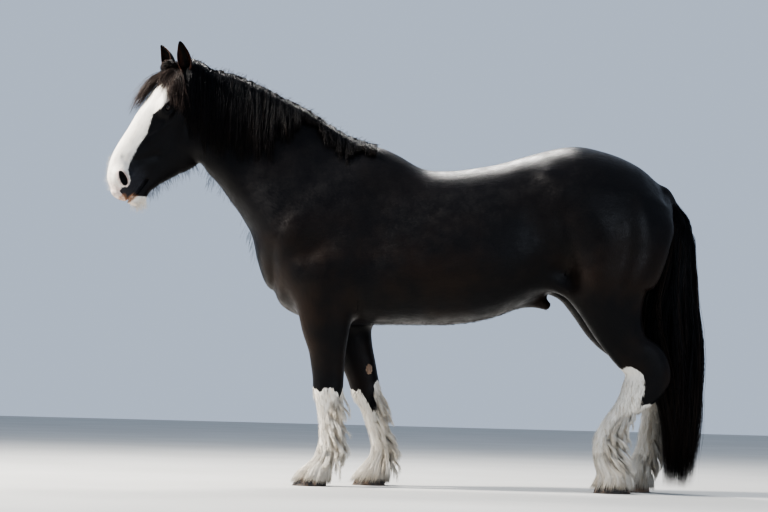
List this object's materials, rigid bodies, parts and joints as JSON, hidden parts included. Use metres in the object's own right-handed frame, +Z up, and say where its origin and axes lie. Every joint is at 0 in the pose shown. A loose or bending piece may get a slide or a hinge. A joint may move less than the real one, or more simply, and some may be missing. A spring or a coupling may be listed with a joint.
{
  "type": "shire horse",
  "caption": "A black draught horse with a white blaze and white feathered lower legs, standing square with its head up and turned a little to its left, life size.",
  "frame": {"origin": "middle of the bounding box in plan, on the ground under the hooves", "axes": "+Z up, +X towards the tail (the horse faces -X), +Y towards the horse's right side"},
  "size_m": [3.1473, 0.714, 2.297],
  "materials": {
    "black_coat": "short glossy black coat",
    "white_feather": "long silky white hair",
    "black_hair": "long black hair with brown ends",
    "dark_horn": "dark hoof horn",
    "pale_horn": "pale hoof horn",
    "eye": "wet dark eye"
  },
  "bodies": {
    "root": {"head": "black_coat", "neck": "black_coat", "torso": "black_coat", "ear_left": "black_coat", "ear_right": "black_coat", "tail": "black_hair", "eye_left": "eye", "eye_right": "eye", "foreleg_left_upper": "black_coat", "foreleg_left_lower": "white_feather", "hoof_foreleg_left": "dark_horn", "foreleg_right_upper": "black_coat", "foreleg_right_lower": "white_feather", "hoof_foreleg_right": "dark_horn", "hindleg_left_upper": "black_coat", "hindleg_left_lower": "white_feather", "hoof_hindleg_left": "dark_horn", "hindleg_right_upper": "black_coat", "hindleg_right_lower": "white_feather", "hoof_hindleg_right": "pale_horn"}
  },
  "joints": []
}
